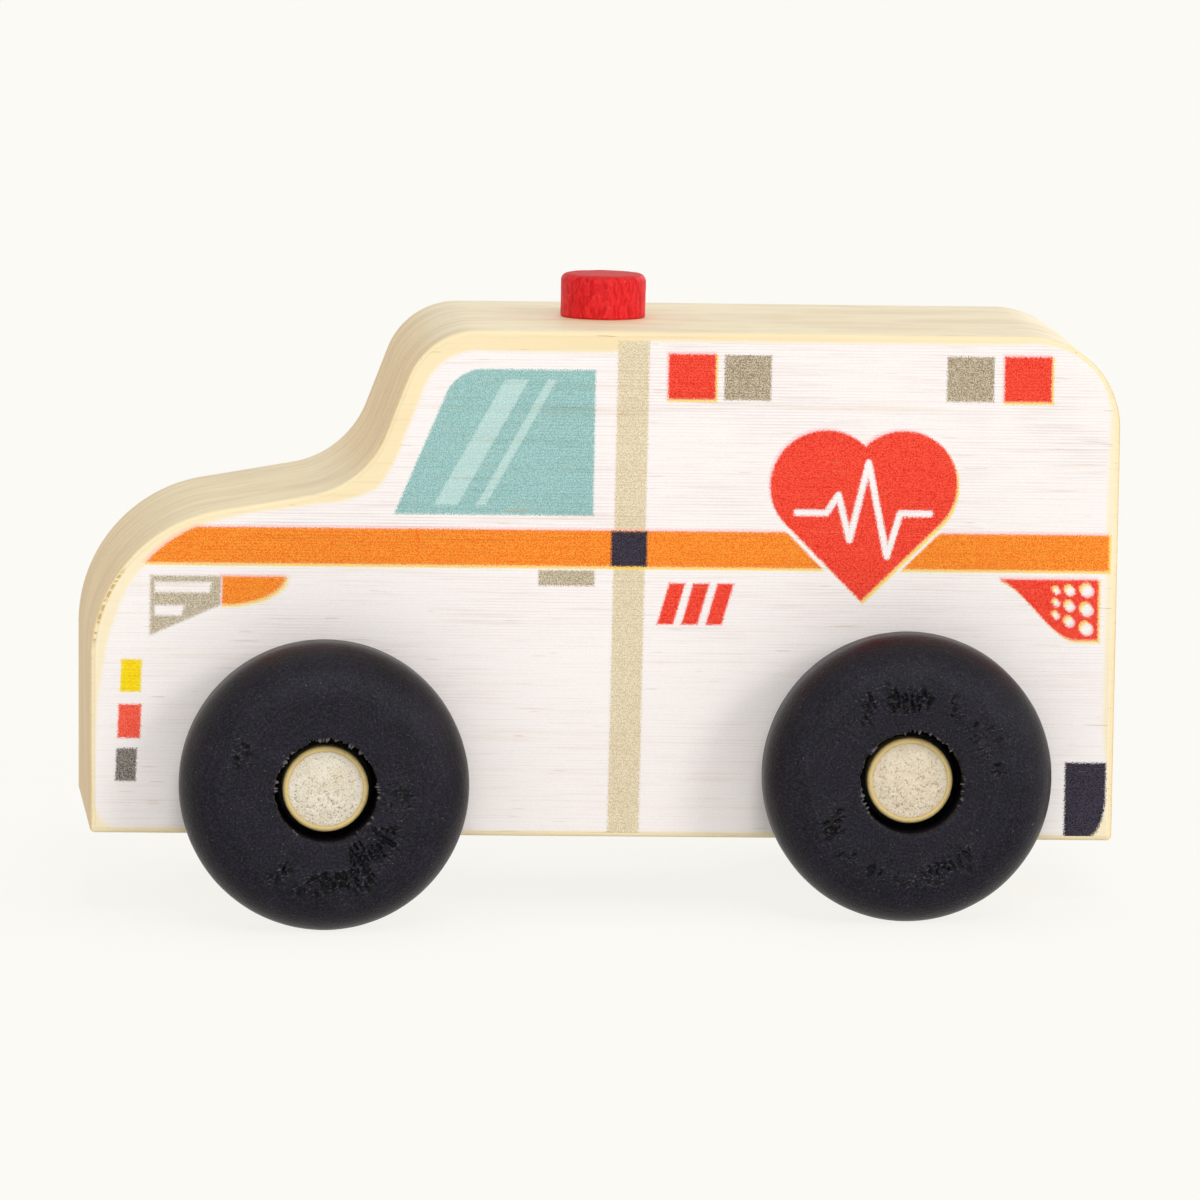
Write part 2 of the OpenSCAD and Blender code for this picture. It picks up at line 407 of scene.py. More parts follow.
def build_wheel(corner, seed, side, hub):
    """The turned wheel, then: torn patches press its outer face in by depth * patch * pits, where pits
    are noise that runs with the reach, and the hub edge is frayed by noise round the turn, in clumps.
    Face and tread only move inwards, so the wheel keeps its size."""
    local = turned(wheel_profile(), WHEEL_COLUMNS)
    reach = np.hypot(local[..., 0], local[..., 1])
    bearing = np.arctan2(local[..., 1], local[..., 0])
    round_turn = np.stack([np.cos(bearing), np.sin(bearing)], -1)
    climb = local[..., 2]
    patch = torn_patches(corner, reach, bearing)
    patch = patch * np.clip(0.8 + 1.6 * roughness_noise(local * 0.62, seed + 5), 0, 1.6)
    strokes = round_noise(round_turn, 30, reach * 0.85, seed)
    chips = roughness_noise(local * np.array([2.7, 2.7, 1.0]), seed + 1)
    pits = eased_step(0.85 * strokes + 0.45 * chips + 0.3 * patch, 0.26, 0.6) * np.clip(patch * 1.6, 0, 1)
    on_face = eased_step(climb, WHEEL_WIDTH - 1.2, WHEEL_WIDTH - 0.4)
    on_face = on_face * eased_step(reach, HUB_RADIUS + 0.25, HUB_RADIUS + 0.7)
    torn = pits * on_face
    near_hub = np.exp(-np.clip(reach - HUB_RADIUS, 0, None) / FRAY_WIDTH)
    near_hub = near_hub * eased_step(climb, WHEEL_WIDTH - 1.8, WHEEL_WIDTH - 0.1)
    fibres = round_noise(round_turn, 15, climb * 0.7, seed + 3)
    tips = round_noise(round_turn, 36, climb * 0.5, seed + 4)
    clumps = 0.5 + 0.5 * round_noise(round_turn, 3.1, climb * 0.1, seed + 6)
    clumps = 0.3 + eased_step(clumps, 0.25, 0.75)
    fray = near_hub * (0.55 * fibres + 0.75 * tips) * clumps
    dapple = 0.5 + 0.5 * roughness_noise(local * 0.55, seed + 2)
    outside = eased_step(reach, HUB_RADIUS - 0.5, HUB_RADIUS + 0.5)
    reach_new = reach + FRAY * fray - DAPPLE_IN * dapple * outside
    sunk = TEAR_DEPTH * torn + FIBRE_DROP * near_hub * np.clip(0.3 + fibres - tips, 0, 1)
    sunk = sunk + DAPPLE_DOWN * dapple * eased_step(climb, WHEEL_WIDTH - 2, WHEEL_WIDTH)
    local = np.concatenate([round_turn * reach_new[..., None], (climb - sunk)[..., None]], -1)
    placed = on_axle(local + np.array([0, 0, WHEEL_INNER]), side, hub)
    piece = skin(f"{corner}_stained_wheel", placed, wrap=True)
    on_top = eased_step(climb, WHEEL_WIDTH - 0.35, WHEEL_WIDTH - 0.1)
    keep_values(piece, "turned_place", local, "FLOAT_VECTOR")
    # torn marks the pits, which the finish darkens with painted shade
    keep_values(piece, "torn", torn)
    keep_values(piece, "ragged", np.clip(patch * on_face, 0, 1))
    # frayed marks the fibre tips at the hub edge, which the finish lights with painted glints
    keep_values(piece, "frayed", near_hub * np.clip(0.45 - 1.1 * tips, 0, 1) * on_top * clumps)
    keep_values(piece, "batch", np.full(torn.shape, seed * BATCH_STEP))
    return piece


PEG_COLUMNS = 240
# Least reach of the rings round the tip of a shank or tenon, the end of a peg and the top of the beacon
TIP_REACH = 0.4
END_REACH = 0.06
TOP_REACH = 0.1
# Fine shoulder on the head's outer face: its reach and depth, and the depths of the sawn end and its pits
HEAD_RING = 4.16
SHOULDER = 0.08
SAWN_DEPTH = 0.02
PIT_DEPTH = 0.1


def peg_profile():
    """From the tip of the shank to the middle of the head's outer face, where a fine shoulder divides the
    rounded rim from the sawn end."""
    flat = HEAD_RADIUS - HEAD_RIM
    ring_top = (HEAD_RING + 0.05, HEAD_OUTER - 0.01)
    ring_foot = (HEAD_RING - 0.04, HEAD_OUTER - SHOULDER)
    sawn_edge = (HEAD_RING - 0.2, HEAD_OUTER - 0.03)
    return np.concatenate([
        line((TIP_REACH, SHANK_START), (SHANK_RADIUS - SHANK_TIP, SHANK_START), 4),
        arc((SHANK_RADIUS - SHANK_TIP, SHANK_START + SHANK_TIP), SHANK_TIP, -90, 0, 8),
        line((SHANK_RADIUS, SHANK_START + SHANK_TIP), (SHANK_RADIUS, HEAD_INNER), 10),
        line((SHANK_RADIUS, HEAD_INNER), (flat, HEAD_INNER), 4),
        arc((flat, HEAD_INNER + HEAD_RIM), HEAD_RIM, -90, 0, 8),
        line((HEAD_RADIUS, HEAD_INNER + HEAD_RIM), (HEAD_RADIUS, HEAD_OUTER - HEAD_RIM), 5),
        arc((flat, HEAD_OUTER - HEAD_RIM), HEAD_RIM, 0, 90, 12),
        line((flat, HEAD_OUTER), ring_top, 3),
        line(ring_top, ring_foot, 3),
        line(ring_foot, sawn_edge, 3),
        line(sawn_edge, (END_REACH, HEAD_OUTER), 44),
    ])


def build_peg(corner, seed, side, hub):
    """The turned peg; the sawn end of its head is pitted inwards by noise, deeper on one half."""
    local = turned(peg_profile(), PEG_COLUMNS)
    reach = np.hypot(local[..., 0], local[..., 1])
    sawn = eased_step(local[..., 2], HEAD_OUTER - 0.14, HEAD_OUTER - 0.05) * eased_step(-reach, -3.9, -3.6)
    grain = 0.5 * roughness_noise(local * np.array([4.2, 4.2, 1.0]), seed)
    grain = grain + 0.7 * roughness_noise(local * np.array([7.4, 7.4, 1.0]), seed + 1)
    lower = 0.72 + 0.3 * eased_step(-local[..., 1], -1.5, 2.2)
    pits = eased_step(grain * lower, 0.22, 0.52) * sawn
    uneven = 0.5 + 0.5 * roughness_noise(local * 1.7, seed + 2)
    local[..., 2] -= PIT_DEPTH * pits + SAWN_DEPTH * sawn * uneven
    poles = np.array([(0, 0, SHANK_START), (0, 0, HEAD_OUTER - SAWN_DEPTH)])
    first, last = on_axle(poles, side, hub)
    piece = skin(f"{corner}_turned_peg", on_axle(local, side, hub), first_pole=first, last_pole=last)
    keep_values(piece, "turned_place", np.concatenate([local.reshape(-1, 3), poles]), "FLOAT_VECTOR")
    keep_values(piece, "torn", np.append(pits.ravel(), [0, 0]))
    keep_values(piece, "batch", np.full(pits.size + len(poles), seed * BATCH_STEP))
    return piece


BEACON_COLUMNS = 200
# Depths of the upright fibres and of the dappled top, and of the top's middle
BEACON_FIBRE = 0.09
BEACON_DAPPLE = 0.05
BEACON_DIP = 0.03


def beacon_profile():
    """From the tip of the tenon, round the foot and the upper rim, to the middle of the top."""
    top = BEACON_RADIUS - BEACON_RIM
    foot = BEACON_RADIUS - BEACON_FOOT
    return np.concatenate([
        line((TIP_REACH, -TENON_LENGTH), (SHANK_RADIUS - SHANK_TIP, -TENON_LENGTH), 4),
        arc((SHANK_RADIUS - SHANK_TIP, SHANK_TIP - TENON_LENGTH), SHANK_TIP, -90, 0, 8),
        line((SHANK_RADIUS, SHANK_TIP - TENON_LENGTH), (SHANK_RADIUS, 0), 6),
        line((SHANK_RADIUS, 0), (foot, 0), 5),
        arc((foot, BEACON_FOOT), BEACON_FOOT, -90, 0, 8),
        line((BEACON_RADIUS, BEACON_FOOT), (BEACON_RADIUS, BEACON_HEIGHT - BEACON_RIM), 24),
        arc((top, BEACON_HEIGHT - BEACON_RIM), BEACON_RIM, 0, 90, 14),
        line((top, BEACON_HEIGHT), (TOP_REACH, BEACON_HEIGHT), 26),
    ])


def build_beacon():
    """The turned beacon; upright fibres press its side in by noise that runs with the height, and the top
    is lightly dappled."""
    local = turned(beacon_profile(), BEACON_COLUMNS)
    reach = np.hypot(local[..., 0], local[..., 1])
    round_turn = local[..., :2] / reach[..., None]
    climb = local[..., 2].copy()
    fibres = round_noise(round_turn, 13, climb * 0.55, 61)
    ridges = round_noise(round_turn, 27, climb * 0.9, 62)
    hollows = eased_step(climb, 0.1, 0.5) * (0.5 + 0.3 * fibres + 0.2 * ridges)
    on_side = eased_step(reach, 3.6, 4.6)
    local[..., :2] = round_turn * (reach - BEACON_FIBRE * hollows * on_side)[..., None]
    dapple = 0.5 + 0.5 * roughness_noise(local * 0.8, 63)
    local[..., 2] -= BEACON_DAPPLE * dapple * eased_step(climb, 4.0, 4.4)
    poles = np.array([(0, 0, -TENON_LENGTH), (0, 0, BEACON_HEIGHT - BEACON_DIP)])
    first, last = on_roof(poles)
    piece = skin("stained_beacon", on_roof(local), first_pole=first, last_pole=last)
    keep_values(piece, "turned_place", np.concatenate([local.reshape(-1, 3), poles]), "FLOAT_VECTOR")
    keep_values(piece, "hollow", np.append((hollows * on_side).ravel(), [0, 0]))
    return piece


# Finishes


def dye(red, green, blue):
    """A screen colour, 0 to 255, as the linear colour that a socket takes."""
    part = np.array([red, green, blue]) / 255
    linear = np.where(part <= 0.04045, part / 12.92, ((part + 0.055) / 1.055) ** 2.4)
    return (*map(float, linear), 1.0)


class Amount:
    """A number that changes over a surface: it wraps a socket, and sums written with it add Math nodes."""

    def __init__(self, finish, socket):
        self.finish = finish
        self.socket = socket

    def sum(self, operation, *terms):
        """The result of a Math node's operation on some terms."""
        return self.finish.node("ShaderNodeMath", {"operation": operation}, *terms)

    def __add__(self, other):
        return self.sum("ADD", self, other)

    def __radd__(self, other):
        return self.sum("ADD", other, self)

    def __sub__(self, other):
        return self.sum("SUBTRACT", self, other)

    def __rsub__(self, other):
        return self.sum("SUBTRACT", other, self)

    def __mul__(self, other):
        return self.sum("MULTIPLY", self, other)

    def __rmul__(self, other):
        return self.sum("MULTIPLY", other, self)

    def __truediv__(self, other):
        return self.sum("DIVIDE", self, other)

    def __pow__(self, other):
        return self.sum("POWER", self, other)

    def __neg__(self):
        return self.sum("MULTIPLY", self, -1.0)

    def __abs__(self):
        return self.sum("ABSOLUTE", self)

    def most(self, other):
        """The greater of two amounts."""
        return self.sum("MAXIMUM", self, other)

    def least(self, other):
        """The lesser of two amounts."""
        return self.sum("MINIMUM", self, other)

    def root(self):
        """The square root."""
        return self.sum("SQRT", self)

    def fraction(self):
        """What is left above the whole number below."""
        return self.sum("FRACT", self)

    def whole(self):
        """The nearest whole number."""
        return self.sum("ROUND", self)

    def sine(self):
        """The sine of an angle in radians."""
        return self.sum("SINE", self)

    def step(self, low, high, start=0.0, end=1.0):
        """From start at low to end at high, by 3t^2 - 2t^3."""
        settings = {"interpolation_type": "SMOOTHSTEP"}
        return self.finish.node("ShaderNodeMapRange", settings, self, low, high, start, end)


class Finish:
    """A node tree, with one method that adds any node."""

    def __init__(self, tree):
        self.tree = tree

    def node(self, kind, settings=None, *terms, sockets=None, out=None):
        """Adds a node: its settings first, then numbers or links for its open sockets in order, or for
        sockets by name."""
        made = self.tree.nodes.new(kind)
        for key, value in (settings or {}).items():
            setattr(made, key, value)
        pairs = list(zip([s for s in made.inputs if s.enabled], terms))
        pairs += [(made.inputs[key], value) for key, value in (sockets or {}).items()]
        for socket, value in pairs:
            if isinstance(value, Amount):
                self.tree.links.new(value.socket, socket)
            else:
                socket.default_value = value
        shown = [s for s in made.outputs if s.enabled]
        return Amount(self, made.outputs[out] if out else shown[0])

    def mix(self, first, second, share):
        """A colour between two colours."""
        return self.node("ShaderNodeMix", {"data_type": "RGBA"}, share, first, second)

    def tint(self, colour, by, share):
        """A colour multiplied by another, as far as a share from 0 to 1 says."""
        settings = {"data_type": "RGBA", "blend_type": "MULTIPLY"}
        return self.node("ShaderNodeMix", settings, share, colour, by)

    def arrow(self, *parts):
        """An arrow made of three amounts."""
        return self.node("ShaderNodeCombineXYZ", None, *parts)

    def parts(self, arrow):
        """The three amounts of an arrow."""
        split = self.node("ShaderNodeSeparateXYZ", None, arrow).socket.node
        return [Amount(self, s) for s in split.outputs]

    def dot(self, arrow, by):
        """The dot product of an arrow and a fixed one."""
        return self.node("ShaderNodeVectorMath", {"operation": "DOT_PRODUCT"}, arrow, tuple(by), out="Value")

    def noise(self, arrow, scale=1.0, detail=2.0, rough=0.5):
        """Noise from 0 to 1, with its middle at 0.5."""
        sockets = {"Vector": arrow, "Scale": scale, "Detail": detail, "Roughness": rough}
        return self.node("ShaderNodeTexNoise", None, sockets=sockets, out="Fac")

    def kept(self, name, out="Fac"):
        """The values that a piece keeps under a name."""
        return self.node("ShaderNodeAttribute", {"attribute_name": name}, out=out)


class SurfaceFinish(Finish):
    """A material around Blender's main shader."""

    def __init__(self, name, **constants):
        self.material = bpy.data.materials.new(name)
        self.material.use_nodes = True
        super().__init__(self.material.node_tree)
        self.shader = self.tree.nodes["Principled BSDF"]
        for key, value in constants.items():
            self.shader.inputs[key.replace("_", " ")].default_value = value

    def feed(self, socket, amount):
        """Links an amount to a socket of the main shader."""
        self.tree.links.new(amount.socket, self.shader.inputs[socket])

    def relief(self, height, depth):
        """Bump of a height from 0 to 1, over a depth in millimetres."""
        sockets = {"Strength": 1.0, "Distance": depth * MM, "Height": height}
        self.feed("Normal", self.node("ShaderNodeBump", None, sockets=sockets))


def block_places(finish):
    """Millimetres along, across and up the block, from Object coordinates."""
    place = finish.node("ShaderNodeTexCoord", out="Object")
    settings = {"operation": "MULTIPLY_ADD"}
    place = finish.node("ShaderNodeVectorMath", settings, place, (1 / MM,) * 3, tuple(-nose_foot))
    return [finish.dot(place, axis) for axis in (block_along, block_across, block_up)]


PLANK_PALE = dye(252, 234, 192)
PLANK_DEEP = dye(238, 211, 162)
PLANK_LINE = dye(208, 172, 120)
PLANK_FLECK = dye(164, 124, 74)
LAYER = 3.1
LAYER_BEND = 8.0


def plank(finish, along, across, up, contrast):
    """Bare plank. Fibres are noise drawn out along the plank. Growth layers lie nearly flat with the
    sides, bent by slow noise, and darken towards one edge. Flecks are the rare peaks of a shorter noise.
    Returns colour, fibres and flecks."""
    drift = finish.noise(finish.arrow(along * 0.011, across * 0.04, up * 0.035), detail=2.0)
    layer = ((across + up * 0.03 + drift * LAYER_BEND) / LAYER).fraction()
    late = layer.step(0.2, 0.8) * layer.step(1.0, 0.8)
    fibres = finish.noise(finish.arrow(along * 0.05, across * 3.2, up * 3.2), detail=3.0, rough=0.6)
    tone = finish.noise(finish.arrow(along * 0.03, across * 0.16, up * 0.12), detail=2.0)
    colour = finish.mix(PLANK_PALE, PLANK_DEEP, (late * 0.55 + tone.step(0.35, 0.75) * 0.4) * contrast)
    colour = finish.mix(colour, PLANK_LINE, fibres.step(0.5, 0.78) * (0.45 * contrast))
    peaks = finish.noise(finish.arrow(along * 0.2, across * 4.2, up * 4.2), detail=1.0)
    flecks = peaks.step(0.735, 0.79)
    colour = finish.mix(colour, PLANK_FLECK, flecks * 0.5)
    return colour, fibres, flecks


# Paler roof: partly sanded wood, partly a painted sheen that grazing light gives the roof
ROOF_SANDED_AND_SHEEN = dye(252, 239, 211)
SANDING_TONE = dye(214, 184, 142)
SANDING_DASH = dye(178, 140, 94)
END_GRAIN = dye(248, 239, 228)
SCORCH = dye(192, 146, 44)
SCORCH_MIDDLE, SCORCH_HALF = 25.2, 4.7


def block_finish():
    """Bare plank, paler on the roof, partly from sanding and partly as a painted sheen of grazing light. Off
    the sides it has sanding marks and dashes, on the two ends pores, and on one edge of the nose a dotted
    scorch from the saw."""
    finish = SurfaceFinish("sanded_plank", Roughness=0.55, Specular_IOR_Level=0.5)
    along, across, up = block_places(finish)
    normal = finish.node("ShaderNodeNewGeometry", out="Normal")
    on_end = abs(finish.dot(normal, block_along)).step(0.3, 0.95)
    off_side = 1 - abs(finish.dot(normal, block_across)).step(0.35, 0.8)
    colour, fibres, flecks = plank(finish, along, across, up, on_end.step(0.0, 1.0, 0.35, 0.9))
    pores = finish.noise(finish.arrow(along * 0.4, across * 5.0, up * 5.0), detail=2.0)
    sanding = finish.noise(finish.arrow(along * 0.06, across * 0.24, up * 0.06), detail=5.0, rough=0.6)
    dashes = finish.noise(finish.arrow(along * 0.2, across * 1.6, up * 0.2), detail=2.0)
    # Paler towards the back of the roof: partly sanded wood, partly a painted sheen of grazing light
    colour = finish.mix(colour, ROOF_SANDED_AND_SHEEN, off_side * (1 - on_end) * along.step(8.0, 45.0, 0.1, 0.5))
    colour = finish.mix(colour, SANDING_TONE, sanding.step(0.38, 0.7) * off_side * 0.4)
    colour = finish.mix(colour, SANDING_DASH, dashes.step(0.62, 0.76) * off_side * 0.28)
    colour = finish.tint(colour, END_GRAIN, on_end)
    colour = finish.mix(colour, PLANK_LINE, on_end * pores.step(0.5, 0.75) * 0.5)
    edge = across + HALF_THICKNESS
    on_edge = edge.step(0.12, 0.08) * edge.step(0.0, 0.015)
    scorch = (1 - abs(up - SCORCH_MIDDLE) / SCORCH_HALF).step(0.0, 0.3) * along.step(7.5, 6.0) * on_edge
    dots = finish.noise(finish.arrow(along * 0.6, 0.0, up * 1.9), detail=1.0)
    colour = finish.mix(colour, SCORCH, scorch * dots.step(0.4, 0.52) * 0.75)
    finish.feed("Base Color", colour)
    finish.feed("Roughness", fibres.step(0.3, 0.8, 0.5, 0.66))
    finish.relief(fibres * 0.6 + pores * on_end * 0.5 + sanding * off_side * 0.5 - flecks * 0.3, 0.035)
    return finish.material


# Inks of the side print: each is a coarse mist of two colours
INK_GROUND = (dye(250, 243, 242), dye(255, 250, 248))
INK_ORANGE = (dye(244, 100, 0), dye(255, 168, 54))
INK_RED = (dye(230, 26, 12), dye(255, 92, 64))
INK_CORAL = (dye(240, 56, 34), dye(255, 116, 88))
INK_TEAL = (dye(124, 180, 178), dye(180, 212, 208))
INK_GREY = (dye(132, 118, 90), dye(218, 204, 178))
INK_LAMP = (dye(156, 142, 112), dye(222, 209, 184))
INK_PILLAR = (dye(206, 186, 142), dye(244, 231, 200))
INK_NAVY = (dye(6, 4, 12), dye(66, 58, 76))
INK_YELLOW = (dye(249, 198, 0), dye(255, 236, 0))
INK_CHARCOAL = (dye(72, 64, 58), dye(168, 160, 152))
INK_GLARE = (dye(182, 218, 214), dye(212, 234, 228))
INK_FRINGE = dye(255, 218, 64)
INK_BLUSH = dye(255, 176, 176)
PLATE_SLIP = (0.12, -0.145)
PLATE_SPREAD = 0.115
PRINT_PASS = 0.345
INK_EDGE = 0.12
INK_SCATTER = 0.8
GROUND_COVER, GROUND_EDGE = 0.97, 0.32
PILLAR_COVER = 0.92
GLARE_COVER = 0.75
LAMP_COVER, LAMP_EDGE = 0.96, 0.2

# What shows beside and through the inks
PRINT_CONTRAST = 0.45
WOOD_BLEACHED = dye(255, 245, 220)
PASS_SHADE = dye(230, 214, 216)
LINE_SHADE = dye(224, 203, 196)
STREAK_SHADE = dye(234, 219, 196)
GRAIN_SHOWN = dye(200, 160, 110)
FLECK_SHOWN = dye(186, 146, 92)
SPECK = dye(84, 72, 72)

# Places of the printed shapes on the block: along from the nose, and up, in millimetres
STRIPE_LOW, STRIPE_HIGH = 30.16, 34.22
STRIPE_TAIL = 113.2
STRIPE_ROUND, STRIPE_ROUND_RADIUS = (16.48, 21.76), 13.31
PILLAR = ((57.99, -0.2), (61.47, 55.3))
PILLAR_LEVEL, PILLAR_LEAN = 26.4, 0.0056
LATCH = ((57.72, 30.22), (61.72, 34.12))
HANDLE = ((49.73, 28.0), (55.93, 29.73))
WINDOW = ((30.0, 35.82), (55.68, 52.0))
WINDOW_FRONT = ((33.6, 35.8), (40.3, 52.0))
WINDOW_ROUND = 2.6
# Streaks of glare on the window: middle and width
GLARES = [(43.2, 2.6), (47.1, 1.0)]
GLARE_LEVEL, GLARE_LEAN, GLARE_INSET = 44.0, 0.55, 1.1
RED_SQUARES = [((63.75, 48.86), (69.01, 53.93)), ((101.13, 48.94), (106.43, 54.01))]
GREY_SQUARES = [((69.98, 48.83), (75.18, 53.85)), ((94.75, 48.92), (99.97, 53.92))]
HEADLIGHT = ((6.77, 20.0), (14.58, 28.72))
HEADLIGHT_FOOT = ((6.78, 22.09), (14.62, 25.56))
# Clear slots of the headlight: two corners of a box, and two points of its slanted end
HEADLIGHT_SLOTS = [
    ((7.25, 26.85), (13.6, 28.02), (13.3, 26.9), (13.5, 28.0)),
    ((7.25, 24.28), (10.6, 25.42), (10.25, 24.3), (10.5, 25.4)),
]
TURN_LAMP_CORNER, TURN_LAMP_REACH = (14.72, 28.74), (6.9, 3.2)
MARKERS = [
    ((3.62, 15.74), (5.9, 19.39), INK_YELLOW),
    ((3.38, 10.61), (5.9, 14.38), INK_CORAL),
    ((3.22, 5.81), (5.47, 9.47), INK_CHARCOAL),
]
MARKER_LEAN = 0.03
HEART_MIDDLE, HEART_SIDE = (85.7, 35.2), 12.2
HEART_HALO = 0.6
HALF_DIAGONAL = 0.5 ** 0.5
PULSE = [
    (78.3, 36.4), (81.6, 36.4), (82.9, 38.4), (84.2, 33.4),
    (86.2, 42.0), (88.4, 31.6), (89.8, 36.4), (93.1, 36.4),
]
PULSE_HALF, PULSE_MARGIN = 0.36, 0.1
BARS = [(63.6, 65.4), (66.3, 68.1), (69.0, 70.8)]
BARS_LOW, BARS_HIGH, BARS_LEAN = 23.8, 28.4, 0.28
LIGHT_TOP, LIGHT_TIP, LIGHT_BACK, LIGHT_DROP = 29.22, 101.2, 112.12, 6.75
LIGHT_FALL, LIGHT_STEEPNESS = (100.4, 109.8), 0.72
# Columns of three lenses in the tail light: along, middle, pitch, radius
LENSES = [(107.38, 26.64, 1.39, 0.47), (108.88, 26.27, 1.74, 0.64), (110.8, 25.9, 2.13, 0.8)]
BUMPER_LOW, BUMPER_HIGH, BUMPER_ROUND = (108.8, 0.15), (113.4, 8.75), (2.3, 4.9)


def in_box(along, up, low, high):
    """Distance outside a rectangle, minus inside: the greater of the two distances past its half sizes."""
    middle = [(a + b) / 2 for a, b in zip(low, high)]
    half = [(b - a) / 2 for a, b in zip(low, high)]
    return (abs(along - middle[0]) - half[0]).most(abs(up - middle[1]) - half[1])


def past_line(along, up, start, end):
    """Distance to the right of a line from start to end."""
    run = unit(np.array(end, float) - np.array(start, float))
    return along * float(run[1]) - up * float(run[0]) - float(start[0] * run[1] - start[1] * run[0])


def in_round(along, up, middle, radius):
    """Distance from the middle of a round, less its radius."""
    return ((along - middle[0]) ** 2.0 + (up - middle[1]) ** 2.0).root() - radius


def in_pillar(along, up):
    """An upright band that leans a little."""
    return in_box(along - (up - PILLAR_LEVEL) * PILLAR_LEAN, up, *PILLAR)


def in_stripe(along, up):
    """A level band whose front end follows the round of the nose."""
    band = in_box(along, up, (0.0, STRIPE_LOW), (STRIPE_TAIL, STRIPE_HIGH))
    return band.most(in_round(along.least(STRIPE_ROUND[0]), up, STRIPE_ROUND, STRIPE_ROUND_RADIUS))


def in_window(along, up):
    """A box cut by a slanted front, with a round upper front corner."""
    front = -past_line(along, up, *WINDOW_FRONT)
    above = (up - (WINDOW[1][1] - WINDOW_ROUND)).most(0.0)
    corner = ((front + WINDOW_ROUND).most(0.0) ** 2.0 + above ** 2.0).root() - WINDOW_ROUND
    return front.most(in_box(along, up, *WINDOW)).most(corner)


def in_headlight(along, up):
    """A box above a slanted foot, less its clear slots, each a box with a slanted end."""
    light = in_box(along, up, *HEADLIGHT).most(past_line(along, up, *HEADLIGHT_FOOT))
    for low, high, start, end in HEADLIGHT_SLOTS:
        slot = in_box(along, up, low, high).most(past_line(along, up, start, end))
        light = light.most(-slot)
    return light


def in_turn_lamp(along, up):
    """A quarter of an ellipse, hung from its level top."""
    past = (along - TURN_LAMP_CORNER[0]) / TURN_LAMP_REACH[0]
    below = (up - TURN_LAMP_CORNER[1]) / TURN_LAMP_REACH[1]
    quarter = ((past ** 2.0 + below ** 2.0).root() - 1.0) * TURN_LAMP_REACH[1]
    return quarter.most(up - TURN_LAMP_CORNER[1]).most(TURN_LAMP_CORNER[0] - along)


def in_heart(along, up):
    """A square stood on its corner, joined with a round on each of its two upper sides."""
    beside = abs(along - HEART_MIDDLE[0])
    above = up - HEART_MIDDLE[1]
    square = abs(beside + above).most(abs(beside - above)) * HALF_DIAGONAL - HEART_SIDE / 2
    lobe = HEART_SIDE / 2 * HALF_DIAGONAL
    return square.least(in_round(beside, above, (lobe, lobe), HEART_SIDE / 2))


def in_pulse(side):
    """Distance to the nearest of the pulse line's straights, less half its width: on each straight the
    nearest place lies at a share of its run, kept from 0 to 1."""
    place = side.arrow(side.along, side.up, 0.0)
    gaps = []
    for start, end in zip(PULSE[:-1], PULSE[1:]):
        run = np.array([end[0] - start[0], end[1] - start[1], 0.0])
        from_start = side.node("ShaderNodeVectorMath", {"operation": "SUBTRACT"}, place, (*start, 0.0))
        share = side.dot(from_start, run / (run @ run)).most(0.0).least(1.0)
        sockets = {0: tuple(run), "Scale": share}
        nearest = side.node("ShaderNodeVectorMath", {"operation": "SCALE"}, sockets=sockets)
        apart = {"operation": "DISTANCE"}
        gaps.append(side.node("ShaderNodeVectorMath", apart, from_start, nearest, out="Value"))
    return reduce(Amount.least, gaps) - PULSE_HALF


def in_tail_light(along, up):
    """Under a level top, in front of the tail, and above a lower edge that falls by an eased step, less
    three columns of round lenses."""
    fall = along.step(*LIGHT_FALL, LIGHT_TOP, LIGHT_TOP - LIGHT_DROP)
    light = (up - LIGHT_TOP).most(along - LIGHT_BACK).most(LIGHT_TIP - along)
    light = light.most((fall - up) * LIGHT_STEEPNESS)
    for at, middle, pitch, radius in LENSES:
        folded = up - ((up - middle) / pitch).whole().most(-1.0).least(1.0) * pitch
        light = light.most(-in_round(along, folded, (at, middle), radius))
    return light


def in_bumper(along, up):
    """A box whose lower back corner is a quarter of an ellipse."""
    past_foot = ((along - BUMPER_HIGH[0]) / BUMPER_ROUND[0] + 1).most(0.0)
    below_foot = ((BUMPER_LOW[1] - up) / BUMPER_ROUND[1] + 1).most(0.0)
    foot = ((past_foot ** 2.0 + below_foot ** 2.0).root() - 1) * BUMPER_ROUND[0]
    return in_box(along, up, BUMPER_LOW, BUMPER_HIGH).most(foot)


